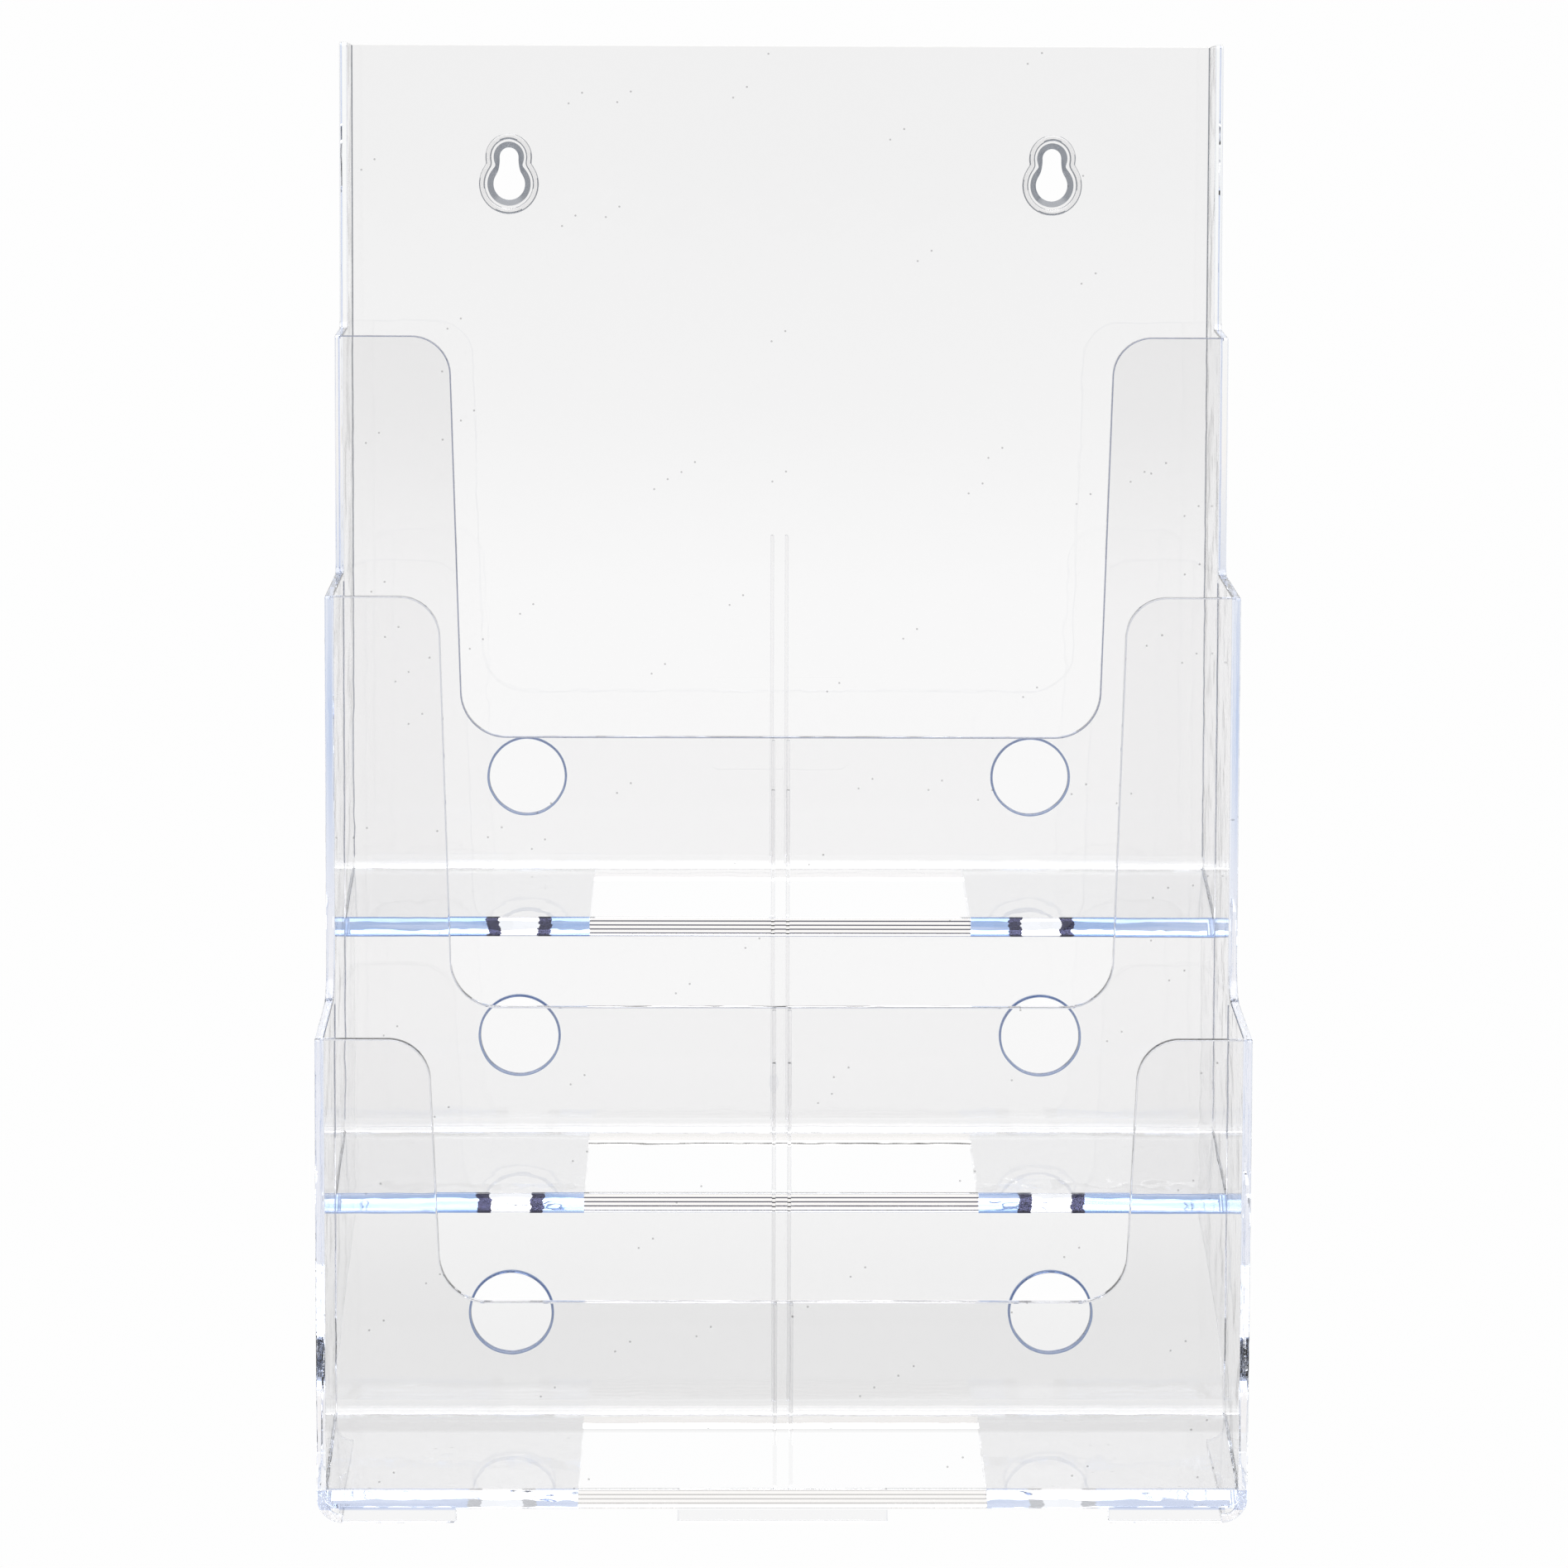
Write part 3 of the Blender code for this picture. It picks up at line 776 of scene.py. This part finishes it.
def make_bead(side):
    """Half-round bead round a keyhole, on the back panel's front face."""
    ring = soften(two_lobes(side * KEYHOLE_SPACING / 2, BEAD_RADII, BEAD_NECK, KEYHOLE_SIDES))
    path = [Vector(point) for point in ring]
    half = BEAD_WIDTH / 2
    straight = BEAD_HEIGHT - half
    section = [(half, JOINT)]
    for i in range(BEAD_STEPS + 1):
        angle = math.pi * i / BEAD_STEPS
        section.append((half * math.cos(angle), straight + half * math.sin(angle)))
    section.append((-half, JOINT))
    rings = []
    for i, point in enumerate(path):
        along = (path[(i + 1) % len(path)] - path[i - 1]).normalized()
        out = Vector((along.y, -along.x))
        rings.append([(point.x + out.x * a, MIDDLE_DEPTH - b, point.y + out.y * a) for a, b in section])
    bead = loft(rings, True, SHEET)
    # Painted shade: the bead's faces that turn away from the front take the dark flank colour, near black at
    # this height, more of them on its lower side; its front-facing crest keeps the sheet colour
    for face in bead.data.polygons:
        limit = BEAD_SHADE_BELOW - BEAD_SHADE_TURN * face.normal.z
        face.material_index = DARK_FLANK if abs(face.normal.y) < limit else SHEET
    return bead


def add_details():
    """The ribs and the beads, each standing for its own CAD node."""
    for tier in range(1, TIERS + 1):
        rear_face = (tier - 1) * TIER_STEP
        front_face = tier * TIER_STEP - WALL
        rear_low = floor_top(tier, rear_face) + REAR_COVE
        front_low = floor_top(tier, front_face - RIB_DEPTH) + FLOOR_FILLET
        front_top = floor_z(tier) + NOTCH_HEIGHTS[tier - 1] - FRONT_RIB_BELOW_NOTCH
        for word, side in (("left", -1), ("right", 1)):
            x = side * RIB_OFFSET
            top = floor_z(tier) + REAR_RIB_TOP
            dress(make_rib(x, rear_face, 1, rear_low, top), f"rear_rib_{tier}_{word}")
            dress(make_rib(x, front_face, -1, front_low, front_top), f"front_rib_{tier}_{word}")
    for word, side in (("left", -1), ("right", 1)):
        dress(make_bead(side), f"keyhole_rim_{word}")


def dress(piece, node, *more):
    """Gives a finished piece its plastic, and puts it in the place of its CAD nodes."""
    piece.name = "visual_" + node
    mesh = piece.data
    # The finishes' codes go into a face attribute; they pick each face's colour, most of it painted shade
    slots = [face.material_index for face in mesh.polygons]
    codes = [slot / (len(FINISHES) - 1) for slot in slots]
    layer = mesh.attributes.new("finish_and_shade", "FLOAT", "FACE")
    layer.data.foreach_set("value", codes)
    mesh.polygons.foreach_set("material_index", [0] * len(codes))
    mesh.materials.clear()
    mesh.materials.append(PLASTIC)
    mesh.set_sharp_from_angle(angle=SMOOTH_BELOW)
    mesh.polygons.foreach_set("use_smooth", [slot in SMOOTH_FINISHES for slot in slots])
    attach(piece, "root")
    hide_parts(*((node,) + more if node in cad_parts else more))
    return piece


# Finishes, with painted shade


def add_node(tree, kind, inputs=(), **settings):
    """Adds a shader node, its inputs given as {name: value or socket}."""
    node = tree.nodes.new(kind)
    for key, value in settings.items():
        setattr(node, key, value)
    for key, value in dict(inputs).items():
        if isinstance(value, bpy.types.NodeSocket):
            tree.links.new(value, node.inputs[key])
        else:
            node.inputs[key].default_value = value
    return node


def color_ramp(tree, value, stops, interpolation="LINEAR"):
    """Colour that follows a value, from stops given as (position, colour)."""
    ramp = add_node(tree, "ShaderNodeValToRGB", {0: value})
    ramp.color_ramp.interpolation = interpolation
    elements = ramp.color_ramp.elements
    while len(elements) < len(stops):
        elements.new(0.5)
    # A new position can change the elements' order, so the colours come afterwards
    for i, (position, _) in enumerate(stops):
        elements[i].position = position
    for i, (_, color) in enumerate(stops):
        elements[i].color = (*color, 1)
    return ramp.outputs["Color"]


def finish_and_shade_ramp(tree, code, colors):
    """Colour for each code of the finishes, much of it painted shade, with hard steps between them."""
    stops = [(max(0, (i - 0.5) / (len(colors) - 1)), color) for i, color in enumerate(colors)]
    return color_ramp(tree, code, stops, "CONSTANT")


def within(tree, value, centre, half):
    """1 where a value lies within a distance of a centre, otherwise 0."""
    return add_node(tree, "ShaderNodeMath", {0: value, 1: centre, 2: half}, operation="COMPARE").outputs[0]


def mix_color(tree, share, first, second):
    mix = add_node(tree, "ShaderNodeMix", data_type="RGBA")
    for socket, value in zip((mix.inputs[0], mix.inputs[6], mix.inputs[7]), (share, first, second)):
        if isinstance(value, bpy.types.NodeSocket):
            tree.links.new(value, socket)
        else:
            socket.default_value = value
    return mix.outputs[2]


def place_shade_tint(tree, spot, code, color, finish_and_shade, tints, axis="Z", start=0.0):
    """Gives the faces with one of the finishes a tint, here painted shade, that changes along an axis, in
    metres from a start.
    """
    place_on = add_node(tree, "ShaderNodeSeparateXYZ", {0: spot}).outputs[axis]
    share = smooth_step(tree, place_on, start, start + HEIGHT, 0.0, 1.0, "LINEAR")
    tint = color_ramp(tree, share, [((level - start) / HEIGHT, tone) for level, tone in tints])
    chosen = within(tree, code, finish_and_shade / (len(FINISH_AND_SHADE_COLORS) - 1), FINISH_MATCH)
    return mix_color(tree, chosen, color, tint)


def painted_floor_edges(tree, spot, color):
    """Paints a floor's front edge onto the front wall before it, as painted reflection and shade: streaked
    blue lines, near black patches beside the holes, dark stripes across the opening, paler on the lowest
    tier, and above them a clear band, a painted highlight where the sheets' painted shade is left off.
    """
    axes = add_node(tree, "ShaderNodeSeparateXYZ", {0: spot})
    x, y, z = (axes.outputs[name] for name in "XYZ")
    side = calculate(tree, "ABSOLUTE", x, 0.0)
    from_hole = calculate(tree, "ABSOLUTE", calculate(tree, "SUBTRACT", side, HOLE_SPACING / 2), 0.0)
    streaks = add_node(tree, "ShaderNodeMapping", {"Vector": spot, "Scale": STREAK_SCALE})
    noise = add_node(tree, "ShaderNodeTexNoise",
                     {"Vector": streaks.outputs[0], "Scale": 1.0, "Detail": STREAK_DETAIL})
    share = smooth_step(tree, noise.outputs[0], *STREAK_EDGES, 0.0, 1.0)
    shift = calculate(tree, "MULTIPLY", calculate(tree, "SUBTRACT", noise.outputs[0], 0.5), PATCH_SHIFT)
    from_hole = calculate(tree, "ADD", from_hole, shift)
    blue = mix_color(tree, share, (*LINE_DEEP, 1), (*LINE_PALE, 1))
    patch = mix_color(tree, within(tree, from_hole, PATCH_PLACE, PATCH_HALF), blue, (*LINE_DARK, 1))
    gap = mix_color(tree, within(tree, from_hole, 0.0, PATCH_PLACE - PATCH_HALF), patch, CLEAR)
    turn = calculate(tree, "SINE", calculate(tree, "MULTIPLY", z, 2 * math.pi / STRIPE_PITCH), 0.0)
    between = smooth_step(tree, turn, *STRIPE_EDGES, 0.0, 1.0)
    stripe = mix_color(tree, between, (*LINE_DARK, 1), CLEAR)
    open_part = within(tree, side, 0.0, FLOOR_OPENING_WIDTH / 2)
    line = mix_color(tree, open_part, gap, stripe)
    reach = within(tree, side, 0.0, inner_half(0, 0))
    for tier in range(1, TIERS + 1):
        front = tier * TIER_STEP
        middle = floor_top(tier, front - WALL) - FLOOR_FRONT_THICKNESS / 2 + LINE_RISE
        level = within(tree, z, middle, LINE_HEIGHT / 2)
        facing = within(tree, y, MIDDLE_DEPTH - front + WALL / 2, WALL)
        on_wall = calculate(tree, "MULTIPLY", facing, reach)
        here = calculate(tree, "MULTIPLY", level, on_wall)
        clear_middle = floor_top(tier, front - WALL) + CLEAR_HEIGHT / 2
        clear = within(tree, z, clear_middle, CLEAR_HEIGHT / 2)
        clear = calculate(tree, "MULTIPLY", clear, on_wall)
        color = mix_color(tree, clear, color, CLEAR)
        tone = mix_color(tree, LOW_LINE_PALER, line, CLEAR) if tier == TIERS else line
        color = mix_color(tree, here, color, tone)
    return color


def clear_plastic():
    """Moulded clear plastic: faint waviness, a few specks, a cool tint through its depth, and painted shade:
    greys by height, dark blue to near black lines at its edges, and painted floor edges on the front walls.
    """
    material = bpy.data.materials.new("clear_plastic")
    material.use_nodes = True
    tree = material.node_tree
    shader = tree.nodes["Principled BSDF"]
    place_in = add_node(tree, "ShaderNodeTexCoord").outputs["Object"]
    code = add_node(tree, "ShaderNodeAttribute", attribute_name="finish_and_shade").outputs["Fac"]
    # Painted shade: colours by the finishes' codes, tints by height and place, then the painted floor edges
    color = finish_and_shade_ramp(tree, code, FINISH_AND_SHADE_COLORS)
    color = place_shade_tint(tree, place_in, code, color, CUT_EDGE, EDGE_SHADE_TINTS)
    color = place_shade_tint(tree, place_in, code, color, DARK_FLANK, FLANK_SHADE_TINTS)
    color = place_shade_tint(tree, place_in, code, color, ROUND_EDGE, OUTLINE_SHADE_TINTS, "Y", -HEIGHT / 2)
    color = place_shade_tint(tree, place_in, code, color, SHEET, SHEET_SHADE_TINTS)
    color = painted_floor_edges(tree, place_in, color)
    # specks
    axes = add_node(tree, "ShaderNodeSeparateXYZ", {0: place_in})
    across = add_node(tree, "ShaderNodeMath", {0: axes.outputs["Y"], 1: SPECK_SKEW[0], 2: axes.outputs["X"]},
                      operation="MULTIPLY_ADD")
    up = add_node(tree, "ShaderNodeMath", {0: axes.outputs["Y"], 1: SPECK_SKEW[1], 2: axes.outputs["Z"]},
                  operation="MULTIPLY_ADD")
    spread = add_node(tree, "ShaderNodeCombineXYZ", {"X": across.outputs[0], "Y": up.outputs[0]})
    cells = add_node(tree, "ShaderNodeTexVoronoi", {"Vector": spread.outputs[0], "Scale": SPECK_CELLS},
                     voronoi_dimensions="2D")
    speck = add_node(tree, "ShaderNodeMapRange",
                     {"Value": cells.outputs["Distance"], "From Min": SPECK_SIZE,
                      "From Max": SPECK_SIZE * SPECK_SOFTNESS, "To Min": SPECK_SHADE, "To Max": 1.0})
    speckled = add_node(tree, "ShaderNodeVectorMath", {0: color, 1: speck.outputs[0]}, operation="MULTIPLY")
    tree.links.new(speckled.outputs[0], shader.inputs["Base Color"])
    # waviness of a moulded face
    wave = add_node(tree, "ShaderNodeTexNoise",
                    {"Vector": place_in, "Scale": WAVE_SCALE, "Detail": WAVE_DETAIL})
    bump = add_node(tree, "ShaderNodeBump", {"Height": wave.outputs[0], "Strength": WAVE_STRENGTH,
                                             "Distance": WAVE_HEIGHT})
    tree.links.new(bump.outputs[0], shader.inputs["Normal"])
    shader.inputs["Roughness"].default_value = 0.0
    shader.inputs["IOR"].default_value = PLASTIC_IOR
    shader.inputs["Transmission Weight"].default_value = 1.0
    depth_tint = add_node(tree, "ShaderNodeVolumeAbsorption",
                          {"Color": (*ABSORPTION_COLOR, 1), "Density": ABSORPTION_DENSITY})
    tree.links.new(depth_tint.outputs[0], tree.nodes["Material Output"].inputs["Volume"])
    return material


# Studio


def make_camera():
    data = bpy.data.cameras.new("camera")
    data.lens = LENS
    data.sensor_width = SENSOR
    data.clip_start, data.clip_end = CLIP
    camera = bpy.data.objects.new("camera", data)
    bpy.context.scene.collection.objects.link(camera)
    ahead = Vector((math.sin(YAW) * math.cos(PITCH), math.cos(YAW) * math.cos(PITCH), -math.sin(PITCH)))
    camera.rotation_mode = "QUATERNION"
    camera.rotation_quaternion = ahead.to_track_quat("-Z", "Y") @ Quaternion((0, 0, 1), ROLL)
    camera.location = CAMERA_PLACE
    bpy.context.scene.camera = camera


def smooth_step(tree, value, low, high, at_low, at_high, kind="SMOOTHSTEP"):
    node = add_node(
        tree, "ShaderNodeMapRange",
        {"Value": value, "From Min": low, "From Max": high, "To Min": at_low, "To Max": at_high},
        interpolation_type=kind,
    )
    return node.outputs[0]


def calculate(tree, operation, first, second):
    return add_node(tree, "ShaderNodeMath", {0: first, 1: second}, operation=operation).outputs[0]


def make_world():
    """White backdrop, a large soft light overhead and a slightly dimmer room in front."""
    world = bpy.data.worlds.new("studio")
    bpy.context.scene.world = world
    world.use_nodes = True
    tree = world.node_tree
    tree.nodes.clear()
    direction = add_node(tree, "ShaderNodeTexCoord").outputs["Generated"]
    axes = add_node(tree, "ShaderNodeSeparateXYZ", {0: direction})
    backdrop = smooth_step(tree, axes.outputs["Y"], *ROOM_EDGE, ROOM_LIGHT, BACKDROP_LIGHT)
    overhead = smooth_step(tree, axes.outputs["Z"], *OVERHEAD_EDGE, 0.0, OVERHEAD_LIGHT)
    high = smooth_step(tree, axes.outputs["Z"], *HIGH_EDGE, 0.0, BACKDROP_LIGHT)
    total = calculate(tree, "ADD", calculate(tree, "MAXIMUM", backdrop, high), overhead)
    light = add_node(tree, "ShaderNodeBackground", {"Color": total})
    output = add_node(tree, "ShaderNodeOutputWorld")
    tree.links.new(light.outputs[0], output.inputs[0])


def make_floor_sheet():
    """Pale sheet the rack stands on, glowing evenly, with painted shade making its glow softly dimmer far in
    front of the rack.
    """
    half = FLOOR_HALF
    mesh = bpy.data.meshes.new("studio_floor")
    corners = [(-half, -half, -FLOOR_DROP), (half, -half, -FLOOR_DROP),
               (half, half, -FLOOR_DROP), (-half, half, -FLOOR_DROP)]
    mesh.from_pydata(corners, [], [(0, 1, 2, 3)])
    sheet = bpy.data.objects.new("studio_floor", mesh)
    bpy.context.scene.collection.objects.link(sheet)
    material = bpy.data.materials.new("studio_floor")
    material.use_nodes = True
    tree = material.node_tree
    tree.nodes.clear()
    spot = add_node(tree, "ShaderNodeNewGeometry").outputs["Position"]
    axes = add_node(tree, "ShaderNodeSeparateXYZ", {0: spot})
    # Painted shade: the glow fades to FAR_LIGHT far in front of the rack
    far = smooth_step(tree, axes.outputs["Y"], *FAR_FADE, FAR_LIGHT, 1.0)
    strength = calculate(tree, "MULTIPLY", far, BACKDROP_LIGHT)
    glow = add_node(tree, "ShaderNodeEmission", {"Strength": strength})
    output = add_node(tree, "ShaderNodeOutputMaterial")
    tree.links.new(glow.outputs[0], output.inputs[0])
    mesh.materials.append(material)


def set_light_paths():
    """Plain colours, and enough bounces for light to cross several clear walls."""
    scene = bpy.context.scene
    scene.view_settings.view_transform = "Standard"
    scene.view_settings.look = "None"
    scene.cycles.max_bounces = CLEAR_BOUNCES
    scene.cycles.transmission_bounces = CLEAR_BOUNCES
    scene.cycles.transparent_max_bounces = CLEAR_BOUNCES
    scene.cycles.glossy_bounces = GLOSSY_BOUNCES
    scene.cycles.caustics_reflective = True
    scene.cycles.caustics_refractive = True


make_camera()
make_world()
make_floor_sheet()
set_light_paths()
FINISHES = [bpy.data.materials.new(f"finish_{i}") for i in range(len(FINISH_AND_SHADE_COLORS))]
PLASTIC = clear_plastic()
parts = shell_parts()
shell = combine(parts[0], parts[1:], "UNION")
detail_nodes = [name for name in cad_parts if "_rib_" in name or "keyhole_rim" in name]
shell_nodes = [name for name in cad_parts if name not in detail_nodes]
dress(shell, "rack_shell", *shell_nodes)
add_details()
for finish_and_shade in FINISHES:
    bpy.data.materials.remove(finish_and_shade)
